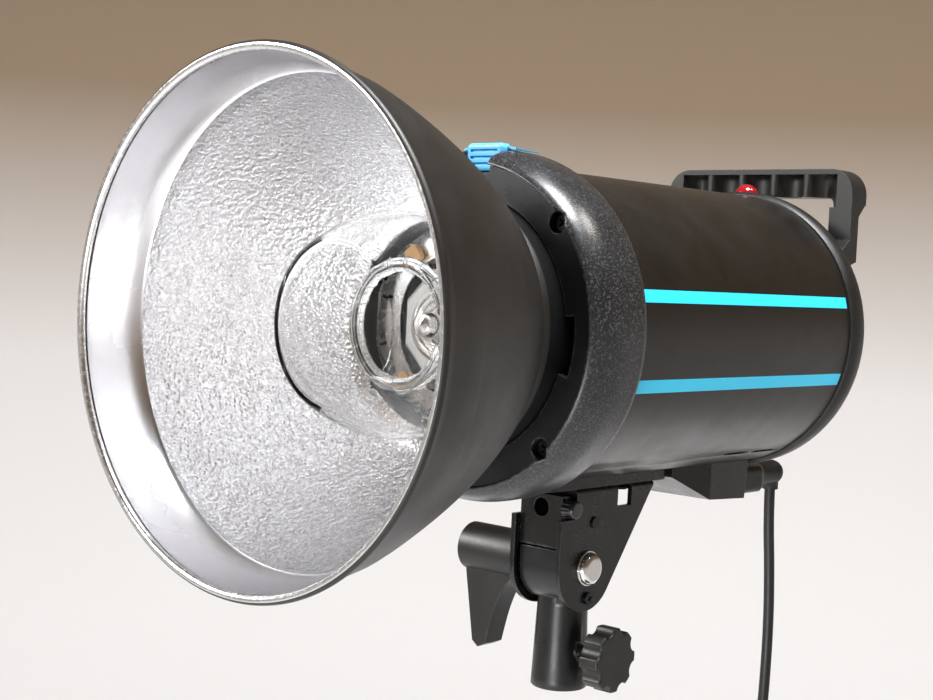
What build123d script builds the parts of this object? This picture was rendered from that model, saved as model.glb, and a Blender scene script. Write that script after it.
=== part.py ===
from build123d import *
import os
from math import asin, atan2, cos, pi, radians, sin, sqrt, tan

os.makedirs("parts", exist_ok=True)

# Monolight strobe with a standard reflector, tilt bracket and mains cord. Millimetres.
# The origin is the centre of the stand socket's mouth. +Z is up, the lamp faces -Y,
# and the strobe's own axis runs along Y at axis_height.

# ---- driving dimensions -------------------------------------------------------------
axis_height = 166.0
tube_r, tube_wall = 69.0, 1.5
tube_front, tube_rear = -60.0, 130.0

plate_face = -79.5          # front of the mount plate
plate_r, plate_back = 67.6, -71.5
collar_front, collar_rear = -81.0, -49.5
collar_r = 75.0
collar_inner = 64.0

rim_front, rim_r, bead_r = -200.0, 99.6, 1.9
crease_y, crease_r = -173.0, 95.4
bowl_rear, bowl_end_r = -93.5, 55.3
neck_front, neck_r = -92.3, 54.5
bowl_wall, neck_wall = 1.2, 1.5
bowl_power = 2.9            # how square the bowl's shoulder is: 2 would be a parabola
lug_front, lug_back, lug_r = -75.9, -72.9, 59.4
lug_half, slot_half, twist = 10.0, 12.0, 25.0
groove_r, well_back, floor_t = 60.0, -69.5, 2.0

dome_front, dome_r, dome_back = -154.5, 46.0, -82.0
dome_tip_r, dome_shoulder, dome_wall = 34.5, -126.0, 2.0
holder_r = 49.0

tube_ring_y, tube_ring_r, tube_glass_r = -116.0, 24.5, 3.0

pivot_y, pivot_z = -2.5, 57.0
yoke_gap, yoke_sheet = 12.0, 2.5
yoke_end_r, block_r, block_top_r = 20.0, 16.8, 19.0
block_half = 10.9
socket_bore, socket_depth = 8.1, 38.0
socket_top_r, socket_mouth_r = 11.4, 13.0
bolt_r, running = 4.0, 0.06

rail_under = 93.3           # underside of the rail below the tube
web_under = 90.6

cover_r, cover_rear = 71.0, 150.0
panel_r, panel_front, panel_rear = 55.7, 145.6, 148.6
handle_half, handle_top, bar_under = 55.5, 250.0, 235.5
handle_front, handle_rear = 149.5, 164.5

housing_half, housing_rear = 18.0, 127.0
connector_y, exit_y, exit_z = 127.2, 181.0, 78.0
cord_r = 2.9

strobe_axis = Axis((0, 0, axis_height), (0, 1, 0))
turned = Plane(origin=(0, 0, axis_height), x_dir=(0, 1, 0), z_dir=(1, 0, 0))
middle = Plane(origin=(0, 0, 0), x_dir=(0, 1, 0), z_dir=(1, 0, 0))


def station(y, height=axis_height):
    """A plane across the strobe at y, facing the front, with +X to the right."""
    return Plane(origin=(0, y, height), x_dir=(1, 0, 0), z_dir=(0, -1, 0))


def side(x):
    """A plane along the strobe at x: local x is +Y and local y is +Z."""
    return Plane(origin=(x, 0, 0), x_dir=(0, 1, 0), z_dir=(1, 0, 0))


def level(z, x=0.0, y=0.0):
    """A horizontal plane at z."""
    return Plane(origin=(x, y, z), x_dir=(1, 0, 0), z_dir=(0, 0, 1))


def spoke(angle, y):
    """A plane that faces outwards from the strobe axis at an angle from +X; local x is +Y."""
    out = Vector(cos(radians(angle)), 0, sin(radians(angle)))
    return Plane(origin=(0, y, axis_height), x_dir=(0, 1, 0), z_dir=out)


def around(radius, angle):
    """A point across the strobe, from its axis."""
    return (radius * cos(radians(angle)), radius * sin(radians(angle)))


def sectors(y, inner, outer, half, angles):
    """Ring sectors across the strobe at y, each centred on one of the angles."""
    with BuildSketch(station(y)) as ring_sectors:
        for angle in angles:
            with BuildLine():
                CenterArc((0, 0), outer, angle - half, 2 * half)
                CenterArc((0, 0), inner, angle - half, 2 * half)
                Line(around(inner, angle - half), around(outer, angle - half))
                Line(around(inner, angle + half), around(outer, angle + half))
            make_face()
    return ring_sectors.sketch


def save(piece, name):
    """Label one node and write its file."""
    piece.part.label = name
    export_step(piece.part, "parts/" + name + ".step")


# ---- reflector ------------------------------------------------------------------------
def bowl_radius(y):
    """Outer radius of the bowl between the crease and its rear collar."""
    t = (y - crease_y) / (bowl_rear - crease_y)
    return (crease_r**bowl_power + (bowl_end_r**bowl_power - crease_r**bowl_power) * t) ** (1 / bowl_power)


bowl_steps = 9
bowl_out = [
    (y, bowl_radius(y))
    for y in (crease_y + (bowl_rear - crease_y) * sin(i / bowl_steps * pi / 2) for i in range(bowl_steps + 1))
]
bowl_in = [(y - 0.75 * bowl_wall, r - 0.75 * bowl_wall) for y, r in bowl_out[1:]]
band_in = (crease_y, crease_r - bowl_wall)
rolled = (rim_front + bead_r, rim_r)

with BuildPart() as reflector_bowl:
    with BuildSketch(turned):
        with BuildLine():
            Polyline((rolled[0], rim_r + 0.6), bowl_out[0])
            Spline(*bowl_out)
            Polyline(
                bowl_out[-1], (bowl_rear + 3.5, bowl_end_r + 1), (bowl_rear + 3.5, neck_r),
                (neck_front, neck_r), bowl_in[-1],
            )
            Spline(*(bowl_in[::-1] + [band_in]))
            Polyline(band_in, (rolled[0], rim_r - 0.6), (rolled[0], rim_r + 0.6))
        make_face()
    revolve(axis=strobe_axis)
    with BuildSketch(turned):
        with Locations(rolled):
            Circle(bead_r)
    revolve(axis=strobe_axis)

with BuildPart() as reflector_neck:
    with BuildSketch(turned):
        with BuildLine():
            Polyline(
                (neck_front, neck_r), (lug_back, neck_r), (lug_back, neck_r - neck_wall),
                (neck_front, neck_r - neck_wall), close=True,
            )
        make_face()
    revolve(axis=strobe_axis)
    lugs = sectors(lug_back, neck_r - 0.5, lug_r, lug_half, [90 + 120 * i for i in range(3)])
    extrude(lugs, amount=lug_back - lug_front)
save(reflector_bowl, "reflector_bowl")
save(reflector_neck, "reflector_neck")

# ---- front collar, mount plate and release ---------------------------------------------
screw_angles = [42, 138, 226, 314]
screw_r = 65.4
scoop_half, scoop_back, scoop_low = 11.5, -59.5, 63.8
stem_half, stem_front, stem_back = 4.0, -66.0, -62.5
pin_r, pin_at = 1.5, 57.6
slide_travel = 5.0


def cut_scoop(back, half, low):
    """Open the top of a ring where the release slides."""
    with BuildSketch(station(back)) as opening:
        with Locations((0, low + 15)):
            Rectangle(2 * half, 30)
    extrude(opening.sketch, amount=30, mode=Mode.SUBTRACT)


with BuildPart() as front_collar:
    with BuildSketch(turned):
        with BuildLine():
            Polyline((collar_front, 67.9), (collar_front, 68.6))
            Spline(
                (collar_front, 68.6), (-77.5, 71.9), (-71.5, 74.2), (-64, collar_r), (-54, 74.8), (-51, 74.3),
                tangents=[(0.5, 1), (1, -0.25)],
            )
            Polyline(
                (-51, 74.3), (collar_rear, 73.2), (collar_rear, tube_r + 0.1), (-60.4, tube_r + 0.1),
                (-60.4, collar_inner), (plate_back + 0.1, collar_inner), (plate_back + 0.1, 67.9),
                (collar_front, 67.9),
            )
        make_face()
    revolve(axis=strobe_axis)
    cut_scoop(scoop_back, scoop_half, scoop_low)
    cut_scoop(stem_back + slide_travel + 0.8, stem_half + 0.5, scoop_low)
    for angle in screw_angles:
        with BuildSketch(station(plate_back - 2.6)):
            with Locations(around(screw_r, angle)):
                Circle(4.4)
        extrude(amount=20, mode=Mode.SUBTRACT)
        with BuildSketch(station(-62)):
            with Locations(around(screw_r, angle)):
                Circle(1.75)
        extrude(amount=12, mode=Mode.SUBTRACT)
save(front_collar, "front_collar")

with BuildPart() as mount_plate:
    with BuildSketch(turned):
        with BuildLine():
            Polyline(
                (plate_face, neck_r + 0.6), (plate_face, plate_r), (plate_back, plate_r), (plate_back, 62),
                (well_back + floor_t, 62), (well_back + floor_t, 16), (well_back, 16), (well_back, groove_r),
                (-76.5, groove_r), (-76.5, neck_r + 0.6), close=True,
            )
        make_face()
    revolve(axis=strobe_axis)
    cut_scoop(-71.0, scoop_half, scoop_low)
    lug_slots = sectors(-76, 53, groove_r - 0.1, slot_half, [90 + 120 * i + twist for i in range(3)])
    extrude(lug_slots, amount=5, mode=Mode.SUBTRACT)
    for angle in screw_angles:
        with BuildSketch(station(-74.1)):
            with Locations(around(screw_r, angle)):
                Circle(4.4)
        extrude(amount=10, mode=Mode.SUBTRACT)
        with BuildSketch(station(-70)):
            with Locations(around(screw_r, angle)):
                Circle(1.75)
        extrude(amount=10, mode=Mode.SUBTRACT)
    with BuildSketch(station(well_back + floor_t + 0.5)):
        with Locations((0, pin_at)):
            Circle(pin_r + 0.15)
        with PolarLocations(34, 6, start_angle=15):
            Circle(4)
    extrude(amount=4, mode=Mode.SUBTRACT)
save(mount_plate, "mount_plate")

with BuildPart() as mount_screws:
    for angle in screw_angles:
        with BuildSketch(station(-74.1)):
            with Locations(around(screw_r, angle)):
                Circle(3.6)
        extrude(amount=2.2)
        with BuildSketch(station(-62.5)):
            with Locations(around(screw_r, angle)):
                Circle(1.7)
        extrude(amount=11.7)
        with BuildSketch(station(-76.3)):
            with Locations(around(screw_r, angle)):
                Rectangle(4.4, 0.9, rotation=angle)
                Rectangle(0.9, 4.4, rotation=angle)
        extrude(amount=-1.1, mode=Mode.SUBTRACT)
save(mount_screws, "mount_screws")

tab_half, tab_front, tab_back, tab_low, tab_high = 10.0, -70.5, -65.1, 65.0, 77.0
saddle_in, saddle_out, saddle_half_angle = 75.4, 76.5, 11.0

with BuildPart() as release_slider:
    with BuildSketch(station(tab_back)):
        with Locations((0, (tab_low + tab_high) / 2)):
            RectangleRounded(2 * tab_half, tab_high - tab_low, 2.2)
    extrude(amount=tab_back - tab_front)
    front_edges = release_slider.edges().group_by(Axis.Y)[0]
    fillet(front_edges, 1.6)
    with BuildSketch(turned):
        with BuildLine():
            Polyline(
                (-67, saddle_in), (-51.5, saddle_in), (-51.5, saddle_in + 0.5), (-67, saddle_out), close=True,
            )
        make_face()
    revolve(axis=strobe_axis)
    with BuildSketch(station(-80)):
        with BuildLine():
            Polyline(
                (0, 0), around(120, 90 - saddle_half_angle), around(120, 90 + saddle_half_angle), close=True,
            )
        make_face()
        with Locations((0, 70)):
            Rectangle(2 * tab_half, 20)
    extrude(amount=-60, mode=Mode.INTERSECT)
    with BuildSketch(station(stem_back)):
        with Locations((0, 66)):
            Rectangle(2 * stem_half, 20)
    extrude(amount=stem_back - stem_front)
    for groove in range(3):
        with BuildSketch(station(tab_front)):
            with Locations((0, tab_low + 3.2 + 2.8 * groove)):
                SlotOverall(15, 1.1)
        extrude(amount=-0.9, mode=Mode.SUBTRACT)
save(release_slider, "release_slider")

with BuildPart() as release_pin:
    with BuildSketch(station(stem_front)):
        with Locations((0, pin_at)):
            Circle(pin_r)
    extrude(amount=stem_front - (lug_back + 0.3))
    tip = release_pin.edges().group_by(Axis.Y)[0]
    chamfer(tip, 0.4)
save(release_pin, "release_pin")

spring_front, spring_back, spring_turns = -62.3, -50.4, 5
with BuildPart() as release_spring:
    with BuildLine() as coil_line:
        Helix(
            pitch=(spring_back - spring_front - 0.8) / spring_turns, height=spring_back - spring_front - 0.8,
            radius=2.4, center=(0, spring_front + 0.4, axis_height + pin_at), direction=(0, 1, 0),
        )
    with BuildSketch(Plane(origin=coil_line.line @ 0, z_dir=coil_line.line % 0)):
        Circle(0.35)
    sweep(path=coil_line.line, is_frenet=True)
save(release_spring, "release_spring")

# ---- flash head: holder, dome, tube and lamp --------------------------------------------
with BuildPart() as dome_holder:
    with BuildSketch(turned):
        with BuildLine():
            Polyline(
                (dome_back + 0.6, dome_r + 0.2), (dome_back + 0.6, holder_r), (well_back, holder_r),
                (well_back, 42), (dome_back + 3.4, 42), (dome_back + 3.4, dome_r + 0.2), close=True,
            )
        make_face()
    revolve(axis=strobe_axis)
    with BuildSketch(station(well_back)):
        with PolarLocations(45.5, 3, start_angle=30):
            Rectangle(9, 3.2)
    extrude(amount=6, mode=Mode.SUBTRACT)
save(dome_holder, "dome_holder")

with BuildPart() as glass_dome:
    with BuildSketch(turned):
        with BuildLine():
            Polyline((dome_front, 0), (dome_front, dome_tip_r - 4))
            Spline(
                (dome_front, dome_tip_r - 4), (dome_front + 2.2, dome_tip_r), (dome_front + 14, 40.6),
                (dome_shoulder, 45.3), (dome_shoulder + 8, dome_r),
                tangents=[(0, 1), (1, 0)],
            )
            Polyline(
                (dome_shoulder + 8, dome_r), (dome_back + 3.2, dome_r), (dome_back + 3.2, dome_r - dome_wall),
                (dome_shoulder + 8, dome_r - dome_wall),
            )
            Spline(
                (dome_shoulder + 8, dome_r - dome_wall), (dome_shoulder + 0.4, 43.4),
                (dome_front + 14.8, 38.7),
                (dome_front + 4.2, dome_tip_r - 2.4), (dome_front + dome_wall, dome_tip_r - 5.4),
                tangents=[(-1, 0), (0, -1)],
            )
            Polyline((dome_front + dome_wall, dome_tip_r - 5.4), (dome_front + dome_wall, 0), (dome_front, 0))
        make_face()
    revolve(axis=strobe_axis)
save(glass_dome, "glass_dome")

ring_gap = 16.0
with BuildPart() as flash_tube:
    with BuildSketch(turned):
        with Locations((tube_ring_y, tube_ring_r)):
            Circle(tube_glass_r)
    revolve(axis=strobe_axis)
    with BuildSketch(station(tube_ring_y + 6)):
        with BuildLine():
            Polyline((0, 0), around(60, ring_gap), around(60, -ring_gap), close=True)
        make_face()
    extrude(amount=12, mode=Mode.SUBTRACT)
    for angle in (ring_gap + 3, -ring_gap - 3):
        with BuildSketch(station(-72)):
            with Locations(around(tube_ring_r, angle)):
                Circle(tube_glass_r)
        extrude(amount=-72 - tube_ring_y)
save(flash_tube, "flash_tube")

with BuildPart() as trigger_wire:
    with BuildSketch(turned):
        with Locations((tube_ring_y, tube_ring_r + tube_glass_r + 0.42)):
            Circle(0.35)
    revolve(axis=strobe_axis)
    with BuildSketch(station(-80)):
        with Locations(around(tube_ring_r + tube_glass_r + 0.42, 90)):
            Circle(0.3)
    extrude(amount=-80 - tube_ring_y)
save(trigger_wire, "trigger_wire")

inner_plate_y = -86.0
lamp_base_r = 25.0
post_angles = [126, 227, 350]
post_at = 36.0
with BuildPart() as inner_reflector:
    with BuildSketch(station(inner_plate_y)):
        RegularPolygon(44, 12, rotation=15)
        Circle(30.2, mode=Mode.SUBTRACT)
        with Locations(around(post_at, post_angles[0]), around(post_at, post_angles[1]),
                       around(post_at, post_angles[2])):
            Circle(2.6, mode=Mode.SUBTRACT)
        with PolarLocations(39.4, 12, start_angle=15):
            Rectangle(4.4, 1.6, mode=Mode.SUBTRACT)
    extrude(amount=-0.8)
save(inner_reflector, "inner_reflector")

with BuildPart() as reflector_posts:
    for angle in post_angles:
        with BuildSketch(station(well_back)):
            with Locations(around(post_at, angle)):
                Circle(3.4)
        extrude(amount=well_back - inner_plate_y - 0.8)
        with BuildSketch(station(inner_plate_y + 0.8)):
            with Locations(around(post_at, angle)):
                Circle(2.5)
        extrude(amount=1.4)
        with BuildSketch(station(inner_plate_y - 0.6)):
            with Locations(around(post_at, angle)):
                RectangleRounded(7.4, 7.4, 1.2, rotation=angle)
        extrude(amount=2.6)
save(reflector_posts, "reflector_posts")

with BuildPart() as lamp_socket:
    with BuildSketch(station(well_back)):
        RegularPolygon(20, 8, rotation=22.5)
    extrude(amount=14)
    with BuildSketch(station(well_back - 14)):
        RegularPolygon(lamp_base_r, 8, rotation=22.5)
    extrude(amount=8)
    rim = lamp_socket.edges().group_by(Axis.Y)[0]
    chamfer(rim, 3)
    with BuildSketch(station(well_back - 22)):
        Circle(15.2)
    extrude(amount=-6, mode=Mode.SUBTRACT)
    with BuildSketch(station(well_back - 6)):
        with Locations(around(tube_ring_r, ring_gap + 3), around(tube_ring_r, -ring_gap - 3)):
            Circle(tube_glass_r + 0.4)
    extrude(amount=20, mode=Mode.SUBTRACT)
save(lamp_socket, "lamp_socket")

lamp_seat = well_back - 16
with BuildPart() as modelling_lamp:
    with BuildSketch(turned):
        with BuildLine():
            Polyline(
                (lamp_seat, 0), (lamp_seat, 15), (lamp_seat - 8.6, 15), (lamp_seat - 8.6, 13.4),
                (lamp_seat - 6.8, 12.4), (lamp_seat - 8.2, 11.2), (lamp_seat - 6.4, 10.0),
                (lamp_seat - 7.8, 8.8), (lamp_seat - 6.0, 7.6), (lamp_seat - 6.0, 6.0),
                (lamp_seat - 14, 6.0), (lamp_seat - 18.4, 4.4), (lamp_seat - 20, 0), close=True,
            )
        make_face()
    revolve(axis=strobe_axis)
save(modelling_lamp, "modelling_lamp")

# ---- body tube ---------------------------------------------------------------------------
vent_angles = (-59, -121)
with BuildPart() as body_tube:
    with BuildSketch(station(tube_rear)):
        Circle(tube_r)
        Circle(tube_r - tube_wall, mode=Mode.SUBTRACT)
    extrude(amount=tube_rear - tube_front)
    cut_scoop(stem_back + slide_travel + 0.8, stem_half + 0.5, 60)
    for angle in vent_angles:
        for vent_y in (85.0, 110.5):
            with BuildSketch(spoke(angle, vent_y)):
                SlotOverall(20, 2.6)
            extrude(amount=80, mode=Mode.SUBTRACT)
    with BuildSketch(level(rail_under)):
        with Locations((0, 12), (0, 40), (0, 88), (0, 116)):
            Circle(1.6)
    extrude(amount=20, mode=Mode.SUBTRACT)
save(body_tube, "body_tube")

# ---- rear cover, handle and controls -------------------------------------------------------
dome_at, dome_ball = 139.5, 6.2
post_in = handle_half - 12.5
rear_screw_angles = [0, 180, 250, 290]
rear_screw_r = 60.0
finger_pitch, finger_r, finger_depth, ridge_r = 19.4, 8.2, 5.4, 2.4

with BuildPart() as rear_cover:
    with BuildSketch(station(handle_rear)):
        with BuildLine():
            FilletPolyline(
                (-handle_half, 44), (-handle_half, handle_top - axis_height),
                (handle_half, handle_top - axis_height), (handle_half, 44), radius=13,
            )
            Line((handle_half, 44), (-handle_half, 44))
        make_face()
        with BuildLine():
            FilletPolyline(
                (-post_in, 20), (-post_in, bar_under - axis_height), (post_in, bar_under - axis_height),
                (post_in, 20),
                radius=4,
            )
            Line((post_in, 20), (-post_in, 20))
        make_face(mode=Mode.SUBTRACT)
    extrude(amount=handle_rear - handle_front)
    with BuildSketch(level(bar_under - 5)) as finger_wave:
        with Locations((0, handle_front - 2)):
            Rectangle(5 * finger_pitch, 4)
        with Locations(*[(finger_pitch * (i - 2), handle_front - finger_r + finger_depth) for i in range(5)]):
            Circle(finger_r)
        ridges = finger_wave.vertices().filter_by_position(Axis.Y, handle_front - 0.01, handle_front + 0.01)
        fillet([v for v in ridges if abs(v.X) < 2 * finger_pitch], ridge_r)
    extrude(amount=handle_top - bar_under + 2.2, mode=Mode.SUBTRACT)
    for post_x in (post_in, -handle_half):
        with BuildSketch(side(post_x)):
            with BuildLine():
                Polyline(
                    (handle_front + 1, 226), (handle_front + 8, 226), (handle_front + 8, 203),
                    (cover_rear - 3, 200),
                    (138.5, 200), (138.5, 206), (handle_front, 214), (handle_front, 225), close=True,
                )
            make_face()
        extrude(amount=handle_half - post_in)
    with BuildSketch(side(-handle_half - 1)):
        with BuildLine():
            Polyline(
                (handle_front + 8, 196), (handle_front + 8, 226), (handle_rear - 1, 232),
                (handle_rear + 2, 232),
                (handle_rear + 2, 196), close=True,
            )
        make_face()
    extrude(amount=2 * handle_half + 2, mode=Mode.SUBTRACT)
    with BuildSketch(station(cover_rear - 0.2)):
        Circle(64.3)
    extrude(amount=40, mode=Mode.SUBTRACT)
    with BuildSketch(turned):
        with BuildLine():
            Polyline(
                (tube_rear + 0.1, 67.2), (tube_rear + 0.1, 69.6), (tube_rear + 1.5, cover_r), (137, cover_r),
            )
            Spline((137, cover_r), (143.5, 69.6), (148.2, 66.4), tangents=[(1, 0), (1, -1)])
            Polyline(
                (148.2, 66.4), (cover_rear, 64.6), (cover_rear, panel_r + 0.2), (147, panel_r + 0.2),
                (147, 63.4),
                (tube_rear - 8, 63.4), (tube_rear - 8, 67.2), (tube_rear + 0.1, 67.2),
            )
        make_face()
    revolve(axis=strobe_axis)
    with BuildSketch(level(axis_height + 40, 0, dome_at)):
        Circle(dome_ball + 0.1)
    extrude(amount=40, mode=Mode.SUBTRACT)
    for angle in rear_screw_angles:
        with BuildSketch(station(cover_rear + 1)):
            with Locations(around(rear_screw_r, angle)):
                Circle(1.55)
        extrude(amount=6, mode=Mode.SUBTRACT)
        with BuildSketch(station(cover_rear + 1)):
            with Locations(around(rear_screw_r, angle)):
                Circle(3.1)
        extrude(amount=2.4, mode=Mode.SUBTRACT)
save(rear_cover, "rear_cover")

with BuildPart() as rear_screws:
    for angle in rear_screw_angles:
        with BuildSketch(station(cover_rear - 1.4)):
            with Locations(around(rear_screw_r, angle)):
                Circle(1.5)
        extrude(amount=11)
        with BuildSketch(station(cover_rear - 0.2)):
            with Locations(around(rear_screw_r, angle)):
                Circle(2.9)
        extrude(amount=1.2)
        with BuildSketch(station(cover_rear - 0.2)):
            with Locations(around(rear_screw_r, angle)):
                Rectangle(3.4, 0.7)
                Rectangle(0.7, 3.4)
        extrude(amount=0.8, mode=Mode.SUBTRACT)
save(rear_screws, "rear_screws")

with BuildPart() as photocell_dome:
    with Locations(Location((0, dome_at, axis_height + 69.2))):
        Sphere(dome_ball)
    with BuildSketch(level(axis_height + 69.2 - 7, 0, dome_at)):
        Circle(dome_ball)
    extrude(amount=7)
    with BuildSketch(level(axis_height + 55, 0, dome_at)):
        Circle(10)
    extrude(amount=7.4, mode=Mode.SUBTRACT)
save(photocell_dome, "photocell_dome")

dial_x, dial_z, dial_r = 0.0, -3.0, 12.8
window_z, window_w, window_h = 29.0, 38.0, 17.0
switch_x, switch_z = -25.0, -33.0
fuse_x, fuse_z = 8.0, -37.0
jack_x, jack_z = 31.0, -31.0
button_r = 4.8
button_places = {
    "button_model": (-33.0, 12.0),
    "button_slave": (33.0, 12.0),
    "button_buzzer": (-35.0, -9.0),
    "button_test": (35.0, -9.0),
}

with BuildPart() as control_panel:
    with BuildSketch(station(panel_rear)):
        Circle(panel_r)
        with Locations((0, window_z)):
            RectangleRounded(window_w - 5, window_h - 5, 1, mode=Mode.SUBTRACT)
        with Locations((dial_x, dial_z)):
            Circle(3.3, mode=Mode.SUBTRACT)
        with Locations(*button_places.values()):
            Circle(button_r + 0.25, mode=Mode.SUBTRACT)
        with Locations((switch_x, switch_z)):
            Rectangle(20.4, 14.8, mode=Mode.SUBTRACT)
        with Locations((fuse_x, fuse_z)):
            Circle(6.1, mode=Mode.SUBTRACT)
        with Locations((jack_x, jack_z)):
            Circle(4.1, mode=Mode.SUBTRACT)
        with Locations(*[(6.5 * (i - 2), -50) for i in range(5)]):
            SlotOverall(6, 2, rotation=90, mode=Mode.SUBTRACT)
    extrude(amount=panel_rear - panel_front)
    with BuildSketch(station(panel_rear)):
        with Locations((0, window_z)):
            RectangleRounded(window_w, window_h, 1.6)
    extrude(amount=1.4, mode=Mode.SUBTRACT)
save(control_panel, "control_panel")

with BuildPart() as display_window:
    with BuildSketch(station(panel_rear + 0.2)):
        with Locations((0, window_z)):
            RectangleRounded(window_w - 0.2, window_h - 0.2, 1.5)
    extrude(amount=1.6)
save(display_window, "display_window")

dial_front = panel_rear + 0.6
with BuildPart() as control_dial:
    with BuildSketch(station(dial_front + 10)):
        with Locations((dial_x, dial_z)):
            Circle(dial_r)
    extrude(amount=10)
    face_edge = control_dial.edges().group_by(Axis.Y)[-1]
    fillet(face_edge, 1.5)
    with BuildSketch(station(dial_front + 8)):
        with Locations((dial_x, dial_z)):
            with PolarLocations(dial_r + 0.5, 24):
                Circle(1.0)
    extrude(amount=9, mode=Mode.SUBTRACT)
    with BuildSketch(station(dial_front)):
        with Locations((dial_x, dial_z)):
            Circle(3.2)
    extrude(amount=6)
    with BuildSketch(station(dial_front + 10)):
        with Locations((dial_x, dial_z + 7)):
            SlotOverall(6, 1.2, rotation=90)
    extrude(amount=0.8, mode=Mode.SUBTRACT)
save(control_dial, "control_dial")

for button_name, (button_x, button_z) in button_places.items():
    with BuildPart() as button:
        with BuildSketch(station(panel_rear + 1.5)):
            with Locations((button_x, button_z)):
                Circle(button_r)
        extrude(amount=6)
        cap = button.edges().group_by(Axis.Y)[-1]
        fillet(cap, 0.7)
    save(button, button_name)

rocker_y, rocker_r = 145.0, 5.9
with BuildPart() as power_switch:
    with BuildSketch(side(switch_x - 8.5)):
        with Locations((rocker_y, axis_height + switch_z)):
            Circle(rocker_r)
        with BuildLine():
            Polyline(
                (rocker_y, axis_height + switch_z + rocker_r),
                (rocker_y + 5.2, axis_height + switch_z + 5.6),
                (rocker_y + 3.4, axis_height + switch_z),
                (rocker_y + 5.2, axis_height + switch_z - 5.6),
                (rocker_y, axis_height + switch_z - rocker_r), close=True,
            )
        make_face()
    extrude(amount=17)
save(power_switch, "power_switch")

with BuildPart() as fuse_cap:
    with BuildSketch(station(panel_rear + 3.4)):
        with Locations((fuse_x, fuse_z)):
            Circle(7.2)
    extrude(amount=3.3)
    with BuildSketch(station(panel_rear + 0.1)):
        with Locations((fuse_x, fuse_z)):
            Circle(6)
    extrude(amount=16)
    with BuildSketch(station(panel_rear + 3.4)):
        with Locations((fuse_x, fuse_z)):
            Rectangle(9, 1.4)
    extrude(amount=1.6, mode=Mode.SUBTRACT)
save(fuse_cap, "fuse_cap")

jack_bore, jack_depth = 1.8, 14.0
with BuildPart() as sync_jack:
    with BuildSketch(station(panel_rear + 2.4)):
        with Locations((jack_x, jack_z)):
            RegularPolygon(6.2, 6)
    extrude(amount=2.3)
    with BuildSketch(station(panel_rear + 0.1)):
        with Locations((jack_x, jack_z)):
            Circle(4)
    extrude(amount=16)
    with BuildSketch(station(panel_rear + 2.4)):
        with Locations((jack_x, jack_z)):
            Circle(jack_bore)
    extrude(amount=jack_depth, mode=Mode.SUBTRACT)
save(sync_jack, "sync_jack")

# ---- mains inlet, connector and cord --------------------------------------------------------
housing_under, housing_nose = 79.6, 69.5
with BuildPart() as inlet_housing:
    with BuildSketch(level(housing_under)):
        with BuildLine():
            Polyline(
                (-housing_half, housing_rear), (-housing_half, 92), (-10, housing_nose), (10, housing_nose),
                (housing_half, 92), (housing_half, housing_rear), close=True,
            )
        make_face()
    extrude(amount=24)
    with BuildSketch(side(-30)):
        with BuildLine():
            Polyline(
                (housing_nose - 1, 93.4), (92, 81.2), (housing_rear - 2.5, housing_under),
                (housing_rear + 1, 110),
                (housing_rear + 20, 110), (housing_rear + 20, 60), (housing_nose - 1, 60), close=True,
            )
        make_face()
    extrude(amount=60, mode=Mode.SUBTRACT)
    with BuildSketch(station(200)):
        Circle(tube_r + 0.02)
    extrude(amount=160, mode=Mode.SUBTRACT)
    with BuildSketch(station(housing_rear + 2, 0)):
        with Locations((0, 88.0)):
            Rectangle(27.4, 11.8)
    extrude(amount=26, mode=Mode.SUBTRACT)
save(inlet_housing, "inlet_housing")

with BuildPart() as power_inlet:
    with BuildSketch(station(connector_y - 2, 0)):
        with Locations((0, 88.0)):
            Rectangle(27.2, 11.6)
    extrude(amount=22)
    with BuildSketch(station(connector_y - 2, 0)):
        with Locations((0, 88.0)):
            Rectangle(24.6, 9)
    extrude(amount=16, mode=Mode.SUBTRACT)
    with BuildSketch(station(connector_y - 19, 0)):
        with Locations((-7, 87.0), (0, 89.4), (7, 87.0)):
            Rectangle(2, 3.6)
    extrude(amount=-15)
save(power_inlet, "power_inlet")

plug_low, plug_high = 80.2, 94.0
with BuildPart() as iec_connector:
    with BuildSketch(station(connector_y + 22, 0)):
        with Locations((0, (plug_low + plug_high) / 2)):
            RectangleRounded(27, plug_high - plug_low, 3)
    extrude(amount=22 - 1.2)
    with BuildSketch(station(connector_y + 22, 0)):
        with Locations((0, (plug_low + plug_high) / 2)):
            RectangleRounded(26.9, plug_high - plug_low - 0.1, 3)
    with BuildSketch(station(connector_y + 36, 0)):
        with Locations((0, 87.2)):
            RectangleRounded(13.2, 13.0, 6)
    loft()
    with BuildSketch(station(exit_y, 0)):
        with Locations((0, 87.2)):
            Circle(6.4)
    extrude(amount=exit_y - connector_y - 36)
    with Locations(Location((0, exit_y, 87.2))):
        Sphere(6.7)
    with BuildSketch(level(exit_z, 0, exit_y)):
        Circle(4.4)
    extrude(amount=8)
    with BuildSketch(station(connector_y + 4, 0)):
        with Locations((0, 88.0)):
            RectangleRounded(24.2, 8.6, 1)
    extrude(amount=19.2)
    with BuildSketch(station(connector_y + 2, 0)):
        with Locations((-7, 87.0), (0, 89.4), (7, 87.0)):
            Rectangle(2.3, 3.9)
    extrude(amount=30, mode=Mode.SUBTRACT)
save(iec_connector, "iec_connector")

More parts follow.
